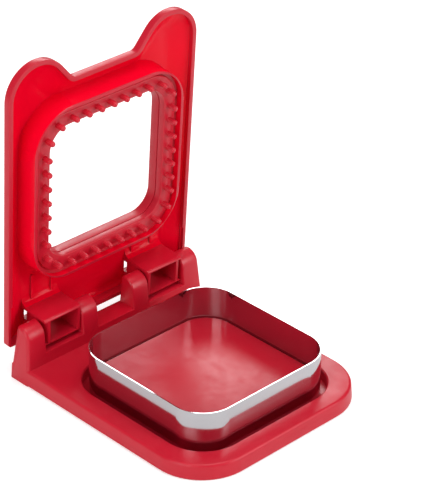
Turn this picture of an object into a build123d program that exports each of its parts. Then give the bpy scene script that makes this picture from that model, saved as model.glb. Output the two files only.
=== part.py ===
"""Square sandwich cutter and sealer with a hinged pressing lid.

Millimetres, +Z up, X along the hinge, front towards -Y. The origin is the centre of the
base's footprint on the table. The lid is drawn pressed down and then swung open about
the hinge, which is how it rests here.
"""

from build123d import *
import math
import os

os.makedirs("parts", exist_ok=True)

# Steel cutter band with its turned-in foot
cutter_half = 46.0
cutter_corner_radius = 18.0
cutter_sheet = 0.6
cutter_top = 27.5
cutter_foot = 4.0

# Trench round the cutter and the tray that carries it
trench_gap = 3.5
trench_rim_chamfer = 0.7
tray_floor = 2.6
tray_wall = 2.2

# Base plate: lands outside the trench, and the room behind it for the hinge
side_land = 11.2
front_land = 10.5
hinge_land = 23.5
hinge_setback = 6.2
base_front_corner_radius = 28.2
plate_height = 8.6
plate_edge_round = 1.5
plate_foot_chamfer = 0.6
base_wall = 2.4
base_skin = 2.4
side_draft_angle = 4.4
rear_draft_angle = 8.0
front_draft_angle = 4.0
rib_thickness = 1.6
rear_rib_count = 8
side_rib_count = 4
overrun = 2.0
pick_slack = 0.05

# Hinge block: a sill across the back with two posts and two cheeks standing on it
knuckle_radius = 6.9
knuckle_chamfer = 0.5
knuckle_back_round = 2.0
hinge_height = 24.1
sill_gap = 0.6
cheek_thickness = 13.5
cheek_round = 2.0
notch_width = 24.6
post_width = 10.4
socket_depth = 2.4

# Plastic core that clamps the band's foot to the tray
core_clearance = 0.3
core_rise = 1.0
core_wall = 2.4
core_skin = 2.0
core_chamfer = 0.8
boss_radius = 4.0
boss_inset = 14.0
screw_thread_radius = 1.25
screw_clearance = 0.05
screw_head_radius = 2.9
screw_head_height = 1.1
screw_head_chamfer = 0.4
screw_length = 5.4
screw_hole_radius = 1.6
screw_recess_radius = 3.3
screw_recess_depth = 1.4

# Lid: a thin crowned shell with a low rim
open_angle = 86.2
lid_side_gap = 0.25
lid_edge_rise = 9.6
crown_rise = 5.5
crown_run = 12.0
lid_panel = 2.2
lid_rim_depth = 3.8
lid_rim_wall = 2.4
lid_rear_reach = 8.3
lid_rear_round = 4.5
lid_rear_corner_radius = 2.0
ear_radius = 18.2
ear_reach = 15.8
ear_root_x = 20.6
ear_root_round = 4.0
rim_running_gap = 0.4

# Well of the lid, with the lip that closes round the cutter
groove_gap = 0.3
lip_clearance = 0.9
lip_corner_ease = 1.4
lip_wall = 1.8
lip_height = 3.3
lip_chamfer = 0.4
lip_outer_ease = 4.1
well_flare = 2.4
well_corner_flare = 5.5
well_wall = 2.2
well_floor = 1.9

# Crimp ring with its pegs, and the collar of the lid behind it
ring_gap = 0.6
ring_seat_floor = 1.2
ring_thickness = 1.7
ring_seat_gap = 0.15
ring_chamfer = 0.4
crimp_land = 7.1
window_corner_radius = 12.6
window_draft = 0.4
ring_wall = 1.5
ring_wall_height = 3.5
collar_step = 0.6
collar_wall = 1.7
collar_gap = 0.3
collar_top_depth = 3.4
collar_chamfer = 0.4
peg_radius = 1.55
peg_length = 5.4
peg_inset = 3.7
peg_corner_radius = 14.0
peg_pitch = 8.05
peg_sides = 12
peg_tip_shares = ((1.0, 0.0), (0.82, 0.62), (0.42, 0.93))

# Hinge arms of the lid: open boxes that swing in the notches of the hinge block
arm_side_gap = 0.55
arm_drop = 6.0
arm_front_reach = 8.4
arm_back_reach = 7.4
arm_wall = 1.5
arm_corner_round = 1.5
arm_cove = 5.0
tongue_outer_gap = 2.65
tongue_inner_gap = 0.8
stub_radius = 2.0
stub_engagement = 2.0
stub_running_gap = 0.07
slot_width = 4.2
slot_length = 6.4
slot_forward = 2.5
rib_offset = 6.5
lid_rib_height = 1.3
lid_rib_thickness = 1.2

# Places of the base worked out from its lands
trench_half = cutter_half + trench_gap
trench_corner_radius = cutter_corner_radius + trench_gap
half_width = trench_half + side_land
half_depth = (front_land + 2 * trench_half + hinge_land + hinge_setback) / 2
base_width = 2 * half_width
base_depth = 2 * half_depth
cutter_centre_y = front_land + trench_half - half_depth
hinge_y = half_depth - hinge_setback
arm_corner_reach = math.hypot(arm_back_reach - arm_corner_round, arm_drop - arm_corner_round)
sill_height = hinge_height - arm_corner_reach - arm_corner_round - sill_gap
cheek_inner_x = half_width - cheek_thickness
post_outer_x = cheek_inner_x - notch_width
post_inner_x = post_outer_x - post_width
boss_offset = cutter_half - boss_inset
core_top = plate_height + core_rise

# Places of the pressed-down lid: heights, then half widths of the well and the window
lid_edge_top = hinge_height + lid_edge_rise
rim_bottom = lid_edge_top - lid_rim_depth
lid_top = lid_edge_top + crown_rise
half_lid = half_width - lid_side_gap
groove_roof = cutter_top + groove_gap
lip_bottom = groove_roof - lip_height
well_floor_top = groove_roof + well_floor
ring_seat_z = well_floor_top - ring_seat_floor
ring_face_z = ring_seat_z - ring_thickness
ring_wall_top = ring_face_z + ring_wall_height
collar_top = lid_top - collar_top_depth
lip_inner_half = cutter_half + lip_clearance
lip_inner_radius = cutter_corner_radius + lip_corner_ease
lip_outer_half = lip_inner_half + lip_wall
lip_outer_radius = lip_inner_radius + lip_outer_ease
ring_half = cutter_half - cutter_sheet - ring_gap
ring_radius = cutter_corner_radius - cutter_sheet - ring_gap
window_half = ring_half - crimp_land
peg_line_half = ring_half - peg_inset
arm_end_z = hinge_height - arm_drop
arm_tongue_outer_x = cheek_inner_x - tongue_outer_gap
arm_tongue_inner_x = post_outer_x + tongue_inner_gap
arm_middle_x = (arm_tongue_inner_x + arm_tongue_outer_x) / 2


def lean(degrees, rise):
    """Sideways run of a drafted wall over a rise."""
    return rise * math.tan(math.radians(degrees))


def rounded_square(half, radius, height, centre_y=cutter_centre_y):
    """Flat rounded square round the cutter's centre line, at a height."""
    flat = RectangleRounded(2 * half, 2 * half, radius)
    return Location((0, centre_y, height)) * flat


def slab(half, radius, low, high):
    """Upright rounded-square block between two heights."""
    return extrude(rounded_square(half, radius, low), amount=high - low)


def box_between(x0, x1, y0, y1, z0, z1):
    """Rectangular block from its corner places."""
    middle = ((x0 + x1) / 2, (y0 + y1) / 2, (z0 + z1) / 2)
    return Location(middle) * Box(abs(x1 - x0), abs(y1 - y0), abs(z1 - z0))


# Base


def block_front(height):
    """Place of the hinge block's drafted front face, tangent to the knuckles."""
    slope = math.radians(front_draft_angle)
    foot = hinge_y - (knuckle_radius + hinge_height * math.sin(slope)) / math.cos(slope)
    return foot + lean(front_draft_angle, height)


def block_rear(height):
    """Place of the base's drafted rear face."""
    return half_depth - lean(rear_draft_angle, height)


def side_envelope():
    """Block with the two drafted flanks of the base, taller than the knuckles."""
    top = hinge_height + knuckle_radius + overrun
    foot_x = half_width
    head_x = half_width - lean(side_draft_angle, top)
    flank = Polygon((-foot_x, 0), (foot_x, 0), (head_x, top), (-head_x, top), align=None)
    return extrude(Plane.XZ * flank, amount=base_depth, both=True)


def knuckle_profile():
    """Section across the hinge block: drafted front, round top, drafted back."""
    slope = math.radians(front_draft_angle)
    touch_y = hinge_y - knuckle_radius * math.cos(slope)
    touch_z = hinge_height + knuckle_radius * math.sin(slope)
    head = hinge_height + knuckle_radius
    body = Polygon(
        (block_front(0), 0),
        (block_rear(0), 0),
        (block_rear(head), head),
        (hinge_y, head),
        (touch_y, touch_z),
        align=None,
    )
    body = fillet(body.vertices().sort_by_distance((block_rear(head), head))[0], knuckle_back_round)
    front = Location((hinge_y - knuckle_radius, hinge_height))
    front = front * Rectangle(2 * knuckle_radius, 2 * knuckle_radius)
    round_front = front & Location((hinge_y, hinge_height)) * Circle(knuckle_radius)
    return body + round_front


def end_edges(body, face):
    """Edges of an end face of the hinge block, above the base plate."""
    return [edge for edge in face.edges() if edge.center().Z > plate_height / 2]


def knuckle(x0, x1):
    """One post of the hinge block between two places along the hinge."""
    body = Location((x0, 0, 0)) * extrude(Plane.YZ * knuckle_profile(), amount=x1 - x0)
    edges = []
    for face in body.faces().filter_by(Axis.X):
        edges = edges + end_edges(body, face)
    return chamfer(edges, knuckle_chamfer)


def cheek():
    """Outer cheek of the hinge block on the +X side, with a drafted flank and a soft shoulder."""
    body = extrude(Plane.YZ * knuckle_profile(), amount=half_width)
    body = body & side_envelope()
    body = body - box_between(-overrun, cheek_inner_x, 0, base_depth, -overrun, lid_top)
    outer = body.faces().sort_by(Axis.X)[-1]
    body = fillet(end_edges(body, outer), cheek_round)
    inner = body.faces().sort_by(Axis.X)[0]
    return chamfer(end_edges(body, inner), knuckle_chamfer)


def base_outline():
    """Footprint of the base: round front corners, nearly square rear ones."""
    flat = Rectangle(base_width, base_depth)
    front = flat.vertices().sort_by(Axis.Y)[:2]
    flat = fillet(front, base_front_corner_radius)
    rear = flat.vertices().sort_by(Axis.Y)[-2:]
    return fillet(rear, cheek_round)


def base_plate():
    """Drafted plate with a rounded top edge and the trench cut into it."""
    body = extrude(base_outline(), amount=plate_height, taper=side_draft_angle)
    body = fillet(body.faces().sort_by(Axis.Z)[-1].edges(), plate_edge_round)
    body = chamfer(body.faces().sort_by(Axis.Z)[0].edges(), plate_foot_chamfer)
    body = body - slab(trench_half, trench_corner_radius, tray_floor, plate_height + overrun)
    rim = [
        edge
        for edge in body.edges()
        if abs(edge.center().Z - plate_height) < pick_slack
        and abs(edge.center().X) < trench_half + tray_wall
        and abs(edge.center().Y - cutter_centre_y) < trench_half + tray_wall
        and abs(edge.bounding_box().size.Z) < pick_slack
    ]
    body = chamfer(rim, trench_rim_chamfer)
    rear = Polygon(
        (-base_depth, 0),
        (block_rear(0), 0),
        (block_rear(plate_height), plate_height),
        (-base_depth, plate_height),
        align=None,
    )
    return body & extrude(Plane.YZ * rear, amount=base_width, both=True)


def sill():
    """Bar across the back of the base that the posts and cheeks stand on."""
    section = Polygon(
        (block_front(0), 0),
        (block_rear(0), 0),
        (block_rear(sill_height), sill_height),
        (block_front(sill_height), sill_height),
        align=None,
    )
    reach = half_width - cheek_thickness / 2
    return extrude(Plane.YZ * section, amount=reach, both=True)


def under_cores():
    """Hollows of the base, open to the table."""
    tray = slab(trench_half + tray_wall, trench_corner_radius + tray_wall, -overrun, plate_height)
    inner = offset(base_outline(), -base_wall - lean(side_draft_angle, plate_height))
    ceiling = plate_height - base_skin
    ring = extrude(Location((0, 0, -overrun)) * inner, amount=ceiling + overrun) - tray
    head = sill_height - base_skin
    inside = half_width - base_wall - lean(side_draft_angle, sill_height)
    bar = Polygon(
        (block_front(0) + base_wall, -overrun),
        (block_rear(head) - base_wall, -overrun),
        (block_rear(head) - base_wall, head),
        (block_front(head) + base_wall, head),
        align=None,
    )
    bar = extrude(Plane.YZ * bar, amount=inside, both=True)
    return ring + bar


def under_ribs():
    """Stiffening ribs left standing in the hollows."""
    ribs = []
    inner_width = base_width - 2 * base_wall
    pitch = inner_width / (rear_rib_count + 1)
    back_of_tray = cutter_centre_y + trench_half
    for number in range(rear_rib_count):
        x = -inner_width / 2 + pitch * (number + 1)
        ribs.append(
            box_between(
                x - rib_thickness / 2,
                x + rib_thickness / 2,
                back_of_tray,
                half_depth,
                0,
                sill_height,
            )
        )
    side_pitch = 2 * trench_half / side_rib_count
    for number in range(side_rib_count):
        place = -trench_half + side_pitch * (number + 1 / 2)
        y = cutter_centre_y + place
        low, high = y - rib_thickness / 2, y + rib_thickness / 2
        ribs.append(box_between(-half_width, -trench_half, low, high, 0, plate_height))
        ribs.append(box_between(trench_half, half_width, low, high, 0, plate_height))
        low, high = place - rib_thickness / 2, place + rib_thickness / 2
        front_of_tray = cutter_centre_y - trench_half
        ribs.append(box_between(low, high, -half_depth, front_of_tray, 0, plate_height))
    return ribs


def boss_places():
    """The four places of the core's bosses and screws."""
    return [
        (x * boss_offset, cutter_centre_y + y * boss_offset) for x in (-1, 1) for y in (-1, 1)
    ]


def make_base():
    outer = base_plate() + sill() + cheek() + mirror(cheek(), Plane.YZ)
    outer = outer + knuckle(post_inner_x, post_outer_x) + knuckle(-post_outer_x, -post_inner_x)
    cores = under_cores()
    for rib in under_ribs():
        cores = cores - rib
    body = outer - cores
    socket = Cylinder(stub_radius + stub_running_gap, socket_depth, rotation=(0, 90, 0))
    for side in (-1, 1):
        in_cheek = side * (cheek_inner_x + socket_depth / 2)
        in_post = side * (post_outer_x - socket_depth / 2)
        body = body - Location((in_cheek, hinge_y, hinge_height)) * socket
        body = body - Location((in_post, hinge_y, hinge_height)) * socket
    for x, y in boss_places():
        hole = Location((x, y, tray_floor / 2)) * Cylinder(screw_hole_radius, tray_floor + overrun)
        recess = Cylinder(screw_recess_radius, 2 * screw_recess_depth)
        body = body - hole - Location((x, y, 0)) * recess
    return body


# Cutter


def make_cutter_band():
    """Steel strip bent into a rounded square, with a foot turned inwards."""
    inner_half = cutter_half - cutter_sheet
    inner_radius = cutter_corner_radius - cutter_sheet
    foot_half = inner_half - cutter_foot
    foot_radius = inner_radius - cutter_foot
    outer = slab(cutter_half, cutter_corner_radius, tray_floor, cutter_top)
    inner = slab(inner_half, inner_radius, tray_floor + cutter_sheet, cutter_top + overrun)
    opening = slab(foot_half, foot_radius, tray_floor - overrun, cutter_top)
    return outer - inner - opening


def make_cutter_core():
    """Hollow plate inside the band; its skirt holds the foot down."""
    half = cutter_half - cutter_sheet - core_clearance
    radius = cutter_corner_radius - cutter_sheet - core_clearance
    seat = tray_floor + cutter_sheet
    ceiling = core_top - core_skin
    body = slab(half, radius, seat, core_top)
    body = chamfer(body.faces().sort_by(Axis.Z)[-1].edges(), core_chamfer)
    body = body - slab(half - core_wall, radius - core_wall, seat - overrun, ceiling)
    for x, y in boss_places():
        boss = Cylinder(boss_radius, ceiling - tray_floor + core_skin / 2)
        body = body + Location((x, y, (ceiling + tray_floor + core_skin / 2) / 2)) * boss
    pilot_depth = ceiling - tray_floor
    for x, y in boss_places():
        pilot = Cylinder(screw_thread_radius + screw_clearance, 2 * pilot_depth)
        body = body - Location((x, y, tray_floor)) * pilot
    return body


def make_core_screws():
    """Four pan-head screws driven up through the tray into the core's bosses."""
    head = Cylinder(screw_head_radius, screw_head_height)
    head = chamfer(head.edges().sort_by(Axis.Z)[0], screw_head_chamfer)
    shank = Location((0, 0, screw_head_height / 2 + screw_length / 2))
    screw = head + shank * Cylinder(screw_thread_radius, screw_length)
    lift = screw_recess_depth - screw_head_height / 2
    return Compound([Location((x, y, lift)) * screw for x, y in boss_places()])


# Lid, drawn pressed down


def half_lid_outline(rear_y):
    """The +X half of the lid seen from above: straight flank, front edge and round ear."""
    front_y = -half_depth
    centre_x = half_lid - ear_radius
    centre_y = front_y - ear_reach + ear_radius
    gap_x = ear_root_x - centre_x
    gap_y = front_y - centre_y
    distance = math.hypot(gap_x, gap_y)
    aim = math.atan2(gap_y, gap_x) + math.acos(ear_radius / distance)
    touch_x = centre_x + ear_radius * math.cos(aim)
    touch_y = centre_y + ear_radius * math.sin(aim)
    side = Polygon((0, front_y), (half_lid, centre_y), (half_lid, rear_y), (0, rear_y), align=None)
    web = Polygon(
        (0, front_y),
        (ear_root_x, front_y),
        (touch_x, touch_y),
        (centre_x, centre_y),
        (half_lid, centre_y),
        align=None,
    )
    return side + web + Location((centre_x, centre_y)) * Circle(ear_radius)


def lid_outline(rear_y):
    """Lid seen from above, with the roots of the ears rounded and square rear corners."""
    half = half_lid_outline(rear_y)
    body = half + mirror(half, Plane.YZ)
    roots = [
        corner
        for corner in body.vertices()
        if abs(abs(corner.X) - ear_root_x) < pick_slack and abs(corner.Y + half_depth) < pick_slack
    ]
    return fillet(roots, ear_root_round)


def rear_profile(inset):
    """Section across the lid that rounds the shell down behind the hinge, set in by a wall."""
    rear_y = hinge_y + lid_rear_reach - inset
    top = lid_top - inset
    section = Polygon(
        (-base_depth, lip_bottom - overrun),
        (rear_y, lip_bottom - overrun),
        (rear_y, top),
        (-base_depth, top),
        align=None,
    )
    corner = section.vertices().sort_by_distance((rear_y, top))[0]
    section = fillet(corner, lid_rear_round - inset / 2)
    return extrude(Plane.YZ * section, amount=half_width, both=True)


def crowned_block(inset, low, edge_top, top):
    """Solid under the lid's outer or inner surface: upright rim, then the sloping crown."""
    slope_run = crown_run * (top - edge_top) / crown_rise
    rear_y = hinge_y + lid_rear_reach + crown_run
    outline = lid_outline(rear_y)
    if inset > 0:
        outline = offset(outline, -inset, kind=Kind.INTERSECTION)
    rim = extrude(Location((0, 0, low)) * outline, amount=edge_top - low)
    upper = offset(outline, -slope_run, kind=Kind.INTERSECTION)
    crown = loft(
        [Location((0, 0, edge_top)) * outline, Location((0, 0, top)) * upper],
        ruled=True,
    )
    return rim + crown


def lid_shell():
    """Thin crowned panel with a low rim, hollow from below."""
    outer = crowned_block(0, rim_bottom, lid_edge_top, lid_top) & rear_profile(0)
    corners = [
        edge
        for edge in outer.edges().filter_by(Axis.Z)
        if abs(edge.center().Y - hinge_y - lid_rear_reach) < pick_slack
    ]
    outer = fillet(corners, lid_rear_corner_radius)
    slope = math.atan2(crown_rise, crown_run)
    drop = lid_panel / math.cos(slope)
    inner_edge = lid_edge_top + lid_rim_wall * math.tan(slope) - drop
    inner = crowned_block(lid_rim_wall, rim_bottom - overrun, inner_edge, lid_top - lid_panel)
    body = outer - (inner & rear_profile(lid_panel))
    cheek_side = half_width - lean(side_draft_angle, rim_bottom) + rim_running_gap
    for side in (-1, 1):
        relief = box_between(
            side * cheek_inner_x,
            side * cheek_side,
            block_front(0) - knuckle_radius,
            hinge_y + lid_rear_reach - lid_rim_wall,
            hinge_height,
            hinge_height + knuckle_radius + rim_running_gap,
        )
        body = body - relief
    return body


def well_block(inset, low, high):
    """Solid inside the well's outer surface, set in by its wall, between two heights."""
    rise = lid_top - lip_bottom
    low_share = (low - lip_bottom) / rise
    high_share = (high - lip_bottom) / rise
    return loft(
        [
            rounded_square(
                lip_outer_half + well_flare * share - inset,
                lip_outer_radius + well_corner_flare * share - inset,
                height,
            )
            for share, height in ((low_share, low), (high_share, high))
        ],
        ruled=True,
    )


def well():
    """Steep wall of the well down to the lip, its floor with the groove, and the collar."""
    body = well_block(0, lip_bottom, lid_top - lid_panel / 2)
    bottom = body.faces().sort_by(Axis.Z)[0]
    body = chamfer(bottom.edges(), lip_chamfer)
    body = body - slab(lip_inner_half, lip_inner_radius, lip_bottom - overrun, groove_roof)
    body = body - well_block(well_wall, well_floor_top, lid_top + overrun)
    outer_half = window_half + ring_wall + collar_gap + collar_wall
    outer_radius = window_corner_radius + ring_wall + collar_gap + collar_wall
    step_z = ring_wall_top + collar_gap + collar_wall
    neck_half = window_half - collar_step + collar_wall
    neck_radius = window_corner_radius - collar_step + collar_wall
    body = body + slab(outer_half, outer_radius, well_floor_top - ring_seat_floor, step_z)
    neck = slab(neck_half, neck_radius, step_z - collar_wall / 2, collar_top)
    body = body + chamfer(neck.faces().sort_by(Axis.Z)[-1].edges(), collar_chamfer)
    seat_half = ring_half + ring_seat_gap
    body = body - slab(seat_half, ring_radius + ring_seat_gap, lip_bottom - overrun, ring_seat_z)
    room_half = window_half + ring_wall + collar_gap
    room_radius = window_corner_radius + ring_wall + collar_gap
    body = body - slab(room_half, room_radius, lip_bottom, ring_wall_top + collar_gap)
    hole_half = window_half - collar_step
    hole_radius = window_corner_radius - collar_step
    return body - slab(hole_half, hole_radius, lip_bottom, lid_top)


def arm(side):
    """One hinge arm: two end walls, two side tongues and the pivot stubs."""
    front_y = hinge_y - arm_front_reach
    back_y = hinge_y + arm_back_reach
    inner_x = post_outer_x + arm_side_gap
    outer_x = cheek_inner_x - arm_side_gap
    top = lid_top - lid_panel / 2
    ceiling = lid_top - lid_panel
    block = box_between(side * inner_x, side * outer_x, front_y, back_y, arm_end_z, top)
    corner = [edge for edge in block.edges().filter_by(Axis.X) if edge.center().Z < hinge_height]
    block = fillet(corner, arm_corner_round)
    low = arm_end_z - overrun
    pocket_low_y = front_y + arm_wall
    pocket_high_y = back_y - arm_wall
    hollow_spans = (
        (arm_tongue_inner_x + arm_wall, arm_tongue_outer_x - arm_wall),
        (arm_tongue_outer_x, outer_x + overrun),
        (inner_x - overrun, arm_tongue_inner_x),
    )
    for near, far in hollow_spans:
        block = block - box_between(
            side * near, side * far, pocket_low_y, pocket_high_y, low, ceiling
        )
    outer_tip = cheek_inner_x + stub_engagement
    inner_tip = post_outer_x - stub_engagement
    for root, tip in (
        (arm_tongue_outer_x - arm_wall, outer_tip),
        (arm_tongue_inner_x + arm_wall, inner_tip),
    ):
        stub = Cylinder(stub_radius, abs(tip - root), rotation=(0, 90, 0))
        block = block + Location((side * (root + tip) / 2, hinge_y, hinge_height)) * stub
    cove = box_between(
        side * inner_x, side * outer_x, front_y - arm_cove, front_y, ceiling - arm_cove, top
    )
    roll = Cylinder(arm_cove, base_width, rotation=(0, 90, 0))
    cove = cove - Location((0, front_y - arm_cove, ceiling - arm_cove)) * roll
    return block + cove


def arm_slots(side):
    """Slots through the panel over the tops of an arm's side tongues."""
    cuts = []
    for place in (arm_tongue_inner_x + slot_width / 2, arm_tongue_outer_x - slot_width / 2):
        middle_y = hinge_y - slot_forward
        cuts.append(
            box_between(
                side * (place - slot_width / 2),
                side * (place + slot_width / 2),
                middle_y - slot_length / 2,
                middle_y + slot_length / 2,
                lid_top - lid_panel - overrun,
                lid_top + overrun,
            )
        )
    return cuts


def lid_ribs(side):
    """Two low ribs under the panel from the front wall of an arm to the well."""
    ribs = []
    for offset_x in (-rib_offset, rib_offset):
        x = side * (arm_middle_x + offset_x)
        ribs.append(
            box_between(
                x - lid_rib_thickness / 2,
                x + lid_rib_thickness / 2,
                cutter_centre_y + lip_outer_half,
                hinge_y - arm_front_reach + arm_wall / 2,
                lid_top - lid_panel - lid_rib_height,
                lid_top - lid_panel / 2,
            )
        )
    return ribs


def make_lid():
    body = lid_shell() - well_block(well_wall, well_floor_top, lid_top + overrun)
    for side in (-1, 1):
        body = body + arm(side)
        for rib in lid_ribs(side):
            body = body + rib
    body = body + well()
    for side in (-1, 1):
        for cut in arm_slots(side):
            body = body - cut
    return body


def peg_places():
    """Places of the pegs on a rounded square: rows along the sides, arcs at the corners."""
    straight = peg_line_half - peg_corner_radius
    row_gaps = int(2 * straight / peg_pitch)
    places = []
    for number in range(row_gaps + 1):
        places.append(((number - row_gaps / 2) * peg_pitch, peg_line_half))
    spare = straight - row_gaps / 2 * peg_pitch
    corner_run = 2 * spare + math.pi / 2 * peg_corner_radius
    corner_gaps = int(corner_run / peg_pitch)
    for number in range(1, corner_gaps):
        run = corner_run * number / corner_gaps - spare
        turn = math.pi / 2 - run / peg_corner_radius
        x = straight + peg_corner_radius * math.cos(turn)
        y = straight + peg_corner_radius * math.sin(turn)
        places.append((x, y))
    quarter = [(0, 1), (1, 0), (0, -1), (-1, 0)]
    return [(x * c + y * s, -x * s + y * c) for s, c in quarter for x, y in places]


def peg():
    """One peg hanging down from the ring's face, with a domed tip."""
    shank_length = peg_length - peg_radius
    root = ring_thickness / 2
    flat = RegularPolygon(peg_radius, peg_sides)
    body = Location((0, 0, -shank_length)) * extrude(flat, amount=shank_length + root)
    for (wide, high), (narrow, low) in zip(peg_tip_shares, peg_tip_shares[1:]):
        body = body + loft(
            [
                Location((0, 0, -shank_length - high * peg_radius))
                * RegularPolygon(peg_radius * wide, peg_sides),
                Location((0, 0, -shank_length - low * peg_radius))
                * RegularPolygon(peg_radius * narrow, peg_sides),
            ],
            ruled=True,
        )
    return body


def make_crimp_ring():
    """Ring insert: a flat crimping face, the window wall and the row of pegs."""
    body = slab(ring_half, ring_radius, ring_face_z, ring_seat_z)
    body = chamfer(body.faces().sort_by(Axis.Z)[0].edges(), ring_chamfer)
    wall_half = window_half + ring_wall
    wall_radius = window_corner_radius + ring_wall
    body = body + slab(wall_half, wall_radius, ring_face_z, ring_wall_top)
    draft = math.degrees(math.atan2(window_draft, ring_wall_height))
    window = rounded_square(window_half, window_corner_radius, ring_face_z)
    body = body - extrude(window, amount=ring_wall_height, taper=draft)
    single = peg()
    pegs = [
        Location((x, cutter_centre_y + y, ring_face_z)) * single for x, y in peg_places()
    ]
    return body + pegs


def swing_open(shape):
    """Turn a piece of the pressed-down lid to the open rest position."""
    hinge = Axis((0, hinge_y, hinge_height), (1, 0, 0))
    return shape.rotate(hinge, -open_angle)


pieces = {
    "base": make_base(),
    "cutter_band": make_cutter_band(),
    "cutter_core": make_cutter_core(),
    "core_screws": make_core_screws(),
    "lid": swing_open(make_lid()),
    "crimp_ring": swing_open(make_crimp_ring()),
}

for name, shape in pieces.items():
    export_step(shape, "parts/" + name + ".step")
    print(name, len(shape.solids()), round(shape.volume))
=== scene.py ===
# %% [markdown]
# # Square sandwich cutter and sealer
# A red base carries a polished steel cutter, and a hinged lid presses the bread down round
# it. The exact shapes come from the construction model, which this script loads first.
# Everything here is in metres, with +Z up, X along the hinge and -Y towards the front.

# %% Load the construction model
import math

import bpy
from mathutils import Matrix, Vector


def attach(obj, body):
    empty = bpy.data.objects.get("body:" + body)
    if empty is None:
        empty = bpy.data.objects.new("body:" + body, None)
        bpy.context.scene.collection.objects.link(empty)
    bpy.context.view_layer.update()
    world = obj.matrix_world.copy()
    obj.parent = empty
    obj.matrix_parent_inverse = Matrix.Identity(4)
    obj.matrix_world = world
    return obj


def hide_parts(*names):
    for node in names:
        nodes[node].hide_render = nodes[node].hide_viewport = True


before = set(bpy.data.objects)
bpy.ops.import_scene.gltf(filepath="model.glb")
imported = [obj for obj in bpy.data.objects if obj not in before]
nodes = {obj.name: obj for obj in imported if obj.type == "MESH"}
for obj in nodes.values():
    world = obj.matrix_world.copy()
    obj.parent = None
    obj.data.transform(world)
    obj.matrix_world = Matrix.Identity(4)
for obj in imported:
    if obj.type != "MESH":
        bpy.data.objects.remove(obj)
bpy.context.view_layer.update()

MM = 0.001
print("pieces in the frame:", ", ".join(sorted(nodes)))

# %% [markdown]
# The photograph was taken from the front left with a long lens, about 1.1 m away. The
# camera is placed on a sphere round the point that it aims at, by an azimuth and an
# elevation, and then rolled by half a degree about its own line of sight.

# %% Place the camera
CAMERA_AZIMUTH = math.radians(-44.33)
CAMERA_ELEVATION = math.radians(30.39)
CAMERA_ROLL = math.radians(0.53)
CAMERA_DISTANCE = 1112.7 * MM
CAMERA_AIM = Vector((32.6, 15.9, 60.0)) * MM
CAMERA_LENS = 160.4


def add_camera():
    """Camera at the photograph's angle, aimed a little to the right of the object."""
    flat = math.cos(CAMERA_ELEVATION)
    back = Vector(
        (
            math.sin(CAMERA_AZIMUTH) * flat,
            -math.cos(CAMERA_AZIMUTH) * flat,
            math.sin(CAMERA_ELEVATION),
        )
    )
    data = bpy.data.cameras.new("photo_camera")
    data.lens = CAMERA_LENS
    camera = bpy.data.objects.new("photo_camera", data)
    bpy.context.scene.collection.objects.link(camera)
    aim = (-back).to_track_quat("-Z", "Y").to_matrix().to_4x4()
    roll = Matrix.Rotation(CAMERA_ROLL, 4, "Z")
    camera.matrix_world = Matrix.Translation(CAMERA_AIM + back * CAMERA_DISTANCE) @ aim @ roll
    bpy.context.scene.camera = camera
    return camera


camera = add_camera()
bpy.context.scene.view_settings.view_transform = "Standard"
print("camera at", [round(value, 3) for value in camera.matrix_world.translation])

# %% [markdown]
# The floor is a pale plane. What the camera sees of it is lifted, so that it reads white
# where nothing shades it, and the soft shadow of the object stays. It lies a tenth of a
# millimetre below the base, so that the two never share a plane.

# %% Lay the floor
FLOOR_WIDTH = 3.0
FLOOR_DROP = 0.1 * MM
FLOOR_COLOUR = (0.86, 0.86, 0.86, 1)
FLOOR_LIFT = 0.40
FLOOR_GLOW = (1, 1, 1, 1)


def floor_material():
    """Matt white paper, brighter to the camera than to the object."""
    material = bpy.data.materials.new("studio_floor")
    material.use_nodes = True
    tree = material.node_tree
    shader = tree.nodes["Principled BSDF"]
    shader.inputs["Base Color"].default_value = FLOOR_COLOUR
    shader.inputs["Roughness"].default_value = 1.0
    shader.inputs["Specular IOR Level"].default_value = 0.0
    shader.inputs["Emission Color"].default_value = FLOOR_GLOW
    path = tree.nodes.new("ShaderNodeLightPath")
    lift = tree.nodes.new("ShaderNodeMath")
    lift.operation = "MULTIPLY"
    lift.inputs[1].default_value = FLOOR_LIFT
    tree.links.new(path.outputs["Is Camera Ray"], lift.inputs[0])
    tree.links.new(lift.outputs[0], shader.inputs["Emission Strength"])
    return material


def add_floor():
    """Wide plane just under the object."""
    bpy.ops.object.select_all(action="DESELECT")
    bpy.ops.mesh.primitive_plane_add(size=FLOOR_WIDTH, location=(0, 0, -FLOOR_DROP))
    floor = bpy.context.object
    floor.name = "studio_floor"
    floor.data.materials.append(floor_material())
    return floor


floor = add_floor()
print(floor.name, "is", FLOOR_WIDTH, "m wide")

# %% [markdown]
# A product photograph of this kind is lit by broad soft boxes over a white sweep. The room
# is bright for the light that it sheds, but dark for mirrors, because a studio hides its
# dark walls behind the lamps, and a dark room is what keeps the red of the plastic deep.
# Each soft box has a place, the point that it is turned to, its width and height in
# metres, and its power in watts.

# %% Light the studio
WORLD_COLOUR = (1.0, 1.0, 1.0, 1)
WORLD_LEVEL = 0.42
MIRROR_LEVEL = 0.05
SOFTBOXES = {
    "top_softbox": ((0.10, -0.15, 1.25), (0, 0, 0.05), 0.7, 0.7, 6.0),
    "left_softbox": ((-1.15, -0.20, 0.60), (0, 0, 0.08), 0.7, 1.0, 7.0),
    "front_softbox": ((0.65, -1.20, 0.55), (0, 0, 0.08), 0.6, 0.8, 8.0),
    "back_softbox": ((0.80, 0.85, 0.75), (0, 0, 0.10), 0.6, 0.5, 5.0),
}


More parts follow.
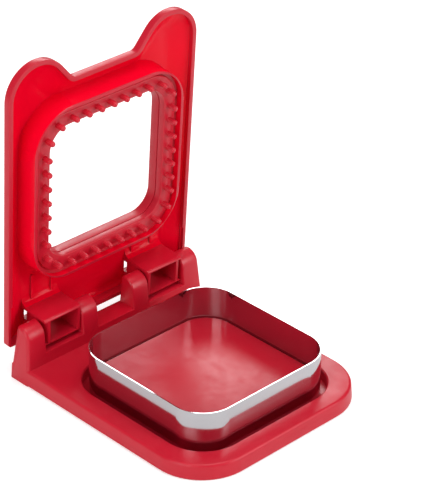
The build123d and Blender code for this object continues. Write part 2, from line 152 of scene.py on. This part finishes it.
def add_world():
    """Bright surroundings, white to the camera and dim to whatever mirrors them."""
    world = bpy.data.worlds.new("studio_world")
    bpy.context.scene.world = world
    world.use_nodes = True
    tree = world.node_tree
    room = tree.nodes["Background"]
    room.inputs["Color"].default_value = WORLD_COLOUR
    room.inputs["Strength"].default_value = WORLD_LEVEL
    mirrored = tree.nodes.new("ShaderNodeBackground")
    mirrored.inputs["Color"].default_value = WORLD_COLOUR
    mirrored.inputs["Strength"].default_value = MIRROR_LEVEL
    seen = tree.nodes.new("ShaderNodeBackground")
    seen.inputs["Color"].default_value = WORLD_COLOUR
    path = tree.nodes.new("ShaderNodeLightPath")
    to_mirror = tree.nodes.new("ShaderNodeMixShader")
    to_camera = tree.nodes.new("ShaderNodeMixShader")
    tree.links.new(path.outputs["Is Glossy Ray"], to_mirror.inputs["Fac"])
    tree.links.new(room.outputs[0], to_mirror.inputs[1])
    tree.links.new(mirrored.outputs[0], to_mirror.inputs[2])
    tree.links.new(path.outputs["Is Camera Ray"], to_camera.inputs["Fac"])
    tree.links.new(to_mirror.outputs[0], to_camera.inputs[1])
    tree.links.new(seen.outputs[0], to_camera.inputs[2])
    tree.links.new(to_camera.outputs[0], tree.nodes["World Output"].inputs["Surface"])


def add_softbox(name, place, aim, width, height, watts):
    """Rectangular soft light at a place, turned to an aim point."""
    data = bpy.data.lights.new(name, "AREA")
    data.shape = "RECTANGLE"
    data.size = width
    data.size_y = height
    data.energy = watts
    light = bpy.data.objects.new(name, data)
    bpy.context.scene.collection.objects.link(light)
    line = Vector(aim) - Vector(place)
    turn = line.to_track_quat("-Z", "Y").to_matrix().to_4x4()
    light.matrix_world = Matrix.Translation(Vector(place)) @ turn


add_world()
for name, setting in SOFTBOXES.items():
    add_softbox(name, *setting)
print("the room and", len(SOFTBOXES), "soft boxes are in place")

# %% [markdown]
# The body is injection-moulded plastic in one saturated red. The mould is polished where
# the lid meets the bread, and spark-eroded on the outside, which leaves a very fine satin
# grain. The satin outside is also given a darker red than the polished inside, and that
# difference is painted shade. Neither is quite even: the gloss and the colour drift a little
# where the wall is thick, and a handled surface has faint rubbed patches. The drift, the
# patches and the grain are noise on Object coordinates, so they stay with the piece.

# %% Mix the red moulded plastic
POLISH_COLOURS = ((0.86, 0.001, 0.022, 1), (0.78, 0.0005, 0.016, 1))
# The satin red is darker than the polished red of the same plastic: painted shade on the
# outer surfaces.
SATIN_PAINTED_SHADE_COLOURS = ((0.60, 0.006, 0.026, 1), (0.53, 0.004, 0.020, 1))
SATIN_ROUGHNESS = (0.30, 0.42)
POLISH_ROUGHNESS = (0.12, 0.22)
CLOUD_SCALE, CLOUD_DETAIL = 28.0, 3.0
GRAIN_SCALE, GRAIN_DETAIL = 1400.0, 2.0
FLOW_SCALE, FLOW_DETAIL = 160.0, 4.0
NOISE_SPAN = (0.3, 0.7)
BUMP_DEPTH = 0.1 * MM
SATIN_GRAIN = 0.10
POLISH_GRAIN = 0.02
SATIN_SHINE = 0.45
POLISH_SHINE = 0.12
# The edge red is lighter and pinker than the satin red: a painted highlight for the bevelled
# edges.
EDGE_HIGHLIGHT_COLOURS = ((0.78, 0.030, 0.045, 1), (0.70, 0.020, 0.035, 1))
EDGE_SHINE = 0.8


def add_noise(tree, coordinates, scale, detail):
    """Noise on Object coordinates."""
    noise = tree.nodes.new("ShaderNodeTexNoise")
    noise.inputs["Scale"].default_value = scale
    noise.inputs["Detail"].default_value = detail
    tree.links.new(coordinates.outputs["Object"], noise.inputs["Vector"])
    return noise


def red_plastic(name, colours, roughness, grain_strength, shine):
    """Saturated red plastic with drifting colour, uneven gloss and a fine grain."""
    material = bpy.data.materials.new(name)
    material.use_nodes = True
    tree = material.node_tree
    shader = tree.nodes["Principled BSDF"]
    shader.inputs["Specular IOR Level"].default_value = shine
    coordinates = tree.nodes.new("ShaderNodeTexCoord")
    cloud = add_noise(tree, coordinates, CLOUD_SCALE, CLOUD_DETAIL)
    colour = tree.nodes.new("ShaderNodeMix")
    colour.data_type = "RGBA"
    colour.inputs["A"].default_value = colours[0]
    colour.inputs["B"].default_value = colours[1]
    tree.links.new(cloud.outputs["Fac"], colour.inputs["Factor"])
    tree.links.new(colour.outputs["Result"], shader.inputs["Base Color"])
    rubbed = add_noise(tree, coordinates, FLOW_SCALE, FLOW_DETAIL)
    gloss = tree.nodes.new("ShaderNodeMapRange")
    gloss.inputs["From Min"].default_value = NOISE_SPAN[0]
    gloss.inputs["From Max"].default_value = NOISE_SPAN[1]
    gloss.inputs["To Min"].default_value = roughness[0]
    gloss.inputs["To Max"].default_value = roughness[1]
    tree.links.new(rubbed.outputs["Fac"], gloss.inputs["Value"])
    tree.links.new(gloss.outputs["Result"], shader.inputs["Roughness"])
    grain = add_noise(tree, coordinates, GRAIN_SCALE, GRAIN_DETAIL)
    bump = tree.nodes.new("ShaderNodeBump")
    bump.inputs["Strength"].default_value = grain_strength
    bump.inputs["Distance"].default_value = BUMP_DEPTH
    tree.links.new(grain.outputs["Fac"], bump.inputs["Height"])
    tree.links.new(bump.outputs["Normal"], shader.inputs["Normal"])
    return material


SATIN_PAINTED_SHADE_RED = red_plastic(
    "red_satin_painted_shade_plastic", SATIN_PAINTED_SHADE_COLOURS, SATIN_ROUGHNESS, SATIN_GRAIN, SATIN_SHINE
)
POLISHED_RED = red_plastic(
    "red_polished_plastic", POLISH_COLOURS, POLISH_ROUGHNESS, POLISH_GRAIN, POLISH_SHINE
)
EDGE_HIGHLIGHT_RED = red_plastic(
    "red_painted_highlight_edge_plastic", EDGE_HIGHLIGHT_COLOURS, SATIN_ROUGHNESS, POLISH_GRAIN, EDGE_SHINE
)
print("mixed", SATIN_PAINTED_SHADE_RED.name, POLISHED_RED.name, "and", EDGE_HIGHLIGHT_RED.name)

# %% [markdown]
# The cutter is polished stainless strip. It mirrors the red base and the pale floor, and
# the rolling of the strip leaves faint lines that run along it.

# %% Mix the two steels
STEEL = (0.55, 0.545, 0.565, 1)
SCREW_STEEL = (0.56, 0.57, 0.58, 1)
STEEL_ROUGHNESS = (0.05, 0.11)
SCREW_ROUGHNESS = (0.30, 0.45)
ROLL_LINES, ROLL_DETAIL = 900.0, 4.0
ROLL_STRETCH = (0.02, 0.02, 1.0)
ROLL_BUMP = 0.04


def steel(name, colour, roughness):
    """Bright steel with fine lines that run level round the strip."""
    material = bpy.data.materials.new(name)
    material.use_nodes = True
    tree = material.node_tree
    shader = tree.nodes["Principled BSDF"]
    shader.inputs["Base Color"].default_value = colour
    shader.inputs["Metallic"].default_value = 1.0
    coordinates = tree.nodes.new("ShaderNodeTexCoord")
    stretch = tree.nodes.new("ShaderNodeMapping")
    stretch.inputs["Scale"].default_value = ROLL_STRETCH
    lines = tree.nodes.new("ShaderNodeTexNoise")
    lines.inputs["Scale"].default_value = ROLL_LINES
    lines.inputs["Detail"].default_value = ROLL_DETAIL
    tree.links.new(coordinates.outputs["Object"], stretch.inputs["Vector"])
    tree.links.new(stretch.outputs["Vector"], lines.inputs["Vector"])
    gloss = tree.nodes.new("ShaderNodeMapRange")
    gloss.inputs["To Min"].default_value = roughness[0]
    gloss.inputs["To Max"].default_value = roughness[1]
    tree.links.new(lines.outputs["Fac"], gloss.inputs["Value"])
    tree.links.new(gloss.outputs["Result"], shader.inputs["Roughness"])
    bump = tree.nodes.new("ShaderNodeBump")
    bump.inputs["Strength"].default_value = ROLL_BUMP
    bump.inputs["Distance"].default_value = BUMP_DEPTH
    tree.links.new(lines.outputs["Fac"], bump.inputs["Height"])
    tree.links.new(bump.outputs["Normal"], shader.inputs["Normal"])
    return material


POLISHED_STEEL = steel("polished_strip_steel", STEEL, STEEL_ROUGHNESS)
SCREW_METAL = steel("zinc_screw_steel", SCREW_STEEL, SCREW_ROUGHNESS)
print("mixed", POLISHED_STEEL.name, "and", SCREW_METAL.name)

# %% [markdown]
# A CAD mesh comes in as loose triangles with knife-sharp edges, and no moulding has those.
# So each plastic piece gets a dressed copy: its triangles are merged, its flat faces are
# put together again, and its sharp edges get a small bevel that catches the light. The
# bevel has a lighter, pinker finish of its own, which is a painted highlight along every
# sharp edge. The copy then stands for the CAD node.

# %% Dress the moulded pieces
MERGE_DISTANCE = 0.002 * MM
FLAT_ANGLE = math.radians(0.4)
SHARP_ANGLE = math.radians(28)
SMOOTH_ANGLE = math.radians(35)
BEVEL_SEGMENTS = 2
FINISHES = (SATIN_PAINTED_SHADE_RED, POLISHED_RED, EDGE_HIGHLIGHT_RED)
POLISHED_SLOT = FINISHES.index(POLISHED_RED)
EDGE_SLOT = FINISHES.index(EDGE_HIGHLIGHT_RED)


def select_only(piece):
    """Make one piece the only selected and the active one."""
    bpy.ops.object.select_all(action="DESELECT")
    piece.select_set(True)
    bpy.context.view_layer.objects.active = piece


def merged_copy(node, name):
    """Copy of a CAD node's mesh with its triangles merged into faces."""
    piece = bpy.data.objects.new(name, nodes[node].data.copy())
    bpy.context.scene.collection.objects.link(piece)
    piece.data.materials.clear()
    for material in FINISHES:
        piece.data.materials.append(material)
    select_only(piece)
    bpy.ops.object.mode_set(mode="EDIT")
    bpy.ops.mesh.select_all(action="SELECT")
    bpy.ops.mesh.remove_doubles(threshold=MERGE_DISTANCE)
    bpy.ops.mesh.dissolve_limited(angle_limit=FLAT_ANGLE)
    bpy.ops.mesh.normals_make_consistent(inside=False)
    bpy.ops.object.mode_set(mode="OBJECT")
    return piece


def soften(piece, bevel_width):
    """Bevel the sharp edges and smooth the round surfaces."""
    select_only(piece)
    bevel = piece.modifiers.new("soft_edges", "BEVEL")
    bevel.width = bevel_width
    bevel.segments = BEVEL_SEGMENTS
    bevel.limit_method = "ANGLE"
    bevel.angle_limit = SHARP_ANGLE
    bevel.use_clamp_overlap = True
    # The bevel faces take the lighter, pinker edge red, a painted highlight along every sharp
    # edge.
    bevel.material = EDGE_SLOT
    bpy.ops.object.modifier_apply(modifier=bevel.name)
    bpy.ops.object.shade_smooth_by_angle(angle=SMOOTH_ANGLE)


base = merged_copy("base", "moulded_base")
core = merged_copy("cutter_core", "moulded_core")
lid = merged_copy("lid", "moulded_lid")
ring = merged_copy("crimp_ring", "moulded_ring")
for piece in (base, core, lid, ring):
    print(piece.name, "has", len(piece.data.polygons), "faces")

# %% [markdown]
# The lid is polished where it faces the bread and satin outside, and the satin outside is
# painted a darker red as shade. Its faces are sorted by how deep they lie below the top of
# the panel, measured in the lid's own slanting plane, by which way they look, and by how
# far they lie outside the rounded square of the well.

# %% Sort the lid's faces by finish
OPEN_ANGLE = math.radians(86.2)
HINGE = Vector((0, 63.4, 24.1)) * MM
LID_TOP_ABOVE_HINGE = 15.1 * MM
LID_UP = Vector((0, math.sin(OPEN_ANGLE), math.cos(OPEN_ANGLE)))
LID_ALONG = Vector((0, -math.cos(OPEN_ANGLE), math.sin(OPEN_ANGLE)))
WELL_CENTRE = 73.0 * MM
WELL_HALF = 48.7 * MM
WELL_RADIUS = 23.5 * MM
WELL_WALL = (-3.4 * MM, 4.0 * MM)
PANEL_DEPTH = (2.0 * MM, 9.0 * MM)
WALL_DEPTH = (2.0 * MM, 14.2 * MM)
DOWNWARD = -0.3
LEVEL_SHARE = 0.75


def within(value, span):
    """Whether a value lies between the two ends of a span."""
    return span[0] < value < span[1]


def outside_well(x, along):
    """Distance outside the rounded square that the well makes in the panel."""
    straight = WELL_HALF - WELL_RADIUS
    side = abs(x) - straight
    end = abs(along - WELL_CENTRE) - straight
    corner = math.hypot(max(side, 0), max(end, 0))
    return corner + min(max(side, end), 0) - WELL_RADIUS


polished = 0
for face in lid.data.polygons:
    place = face.center - HINGE
    depth = LID_TOP_ABOVE_HINGE - place.dot(LID_UP)
    outside = outside_well(place.x, place.dot(LID_ALONG))
    facing = face.normal.dot(LID_UP)
    panel = facing < DOWNWARD and within(depth, PANEL_DEPTH) and outside > 0
    wall = within(depth, WALL_DEPTH) and within(outside, WELL_WALL)
    upright = abs(facing) < LEVEL_SHARE
    # Faces left on the satin slot take its darker red, which is painted shade.
    if panel or (wall and upright):
        face.material_index = POLISHED_SLOT
        polished += 1
print(polished, "faces of the lid are polished")

# %% [markdown]
# Each dressed copy gets a bevel of its own width: wider on the big mouldings, and finer on
# the ring, whose pegs are small. Then it takes its node's place and rides on that body.

# %% Soften the edges and let the copies stand for the CAD nodes
DRESSED = (
    (base, "base", "base_body", 0.20 * MM),
    (core, "cutter_core", "base_body", 0.15 * MM),
    (lid, "lid", "lid_body", 0.25 * MM),
    (ring, "crimp_ring", "lid_body", 0.12 * MM),
)
for piece, node, body, bevel_width in DRESSED:
    soften(piece, bevel_width)
    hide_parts(node)
    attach(piece, body)
    print(piece.name, "stands for", node, "with", len(piece.data.polygons), "faces")

# %% [markdown]
# The steel band and the screws keep the meshes of the construction model, since a cut
# strip and a small screw look right with crisp edges. They only get their metal.

# %% Finish the two metal pieces
for name, material in (("cutter_band", POLISHED_STEEL), ("core_screws", SCREW_METAL)):
    nodes[name].data.materials.clear()
    nodes[name].data.materials.append(material)
    print(name, "is finished in", material.name)
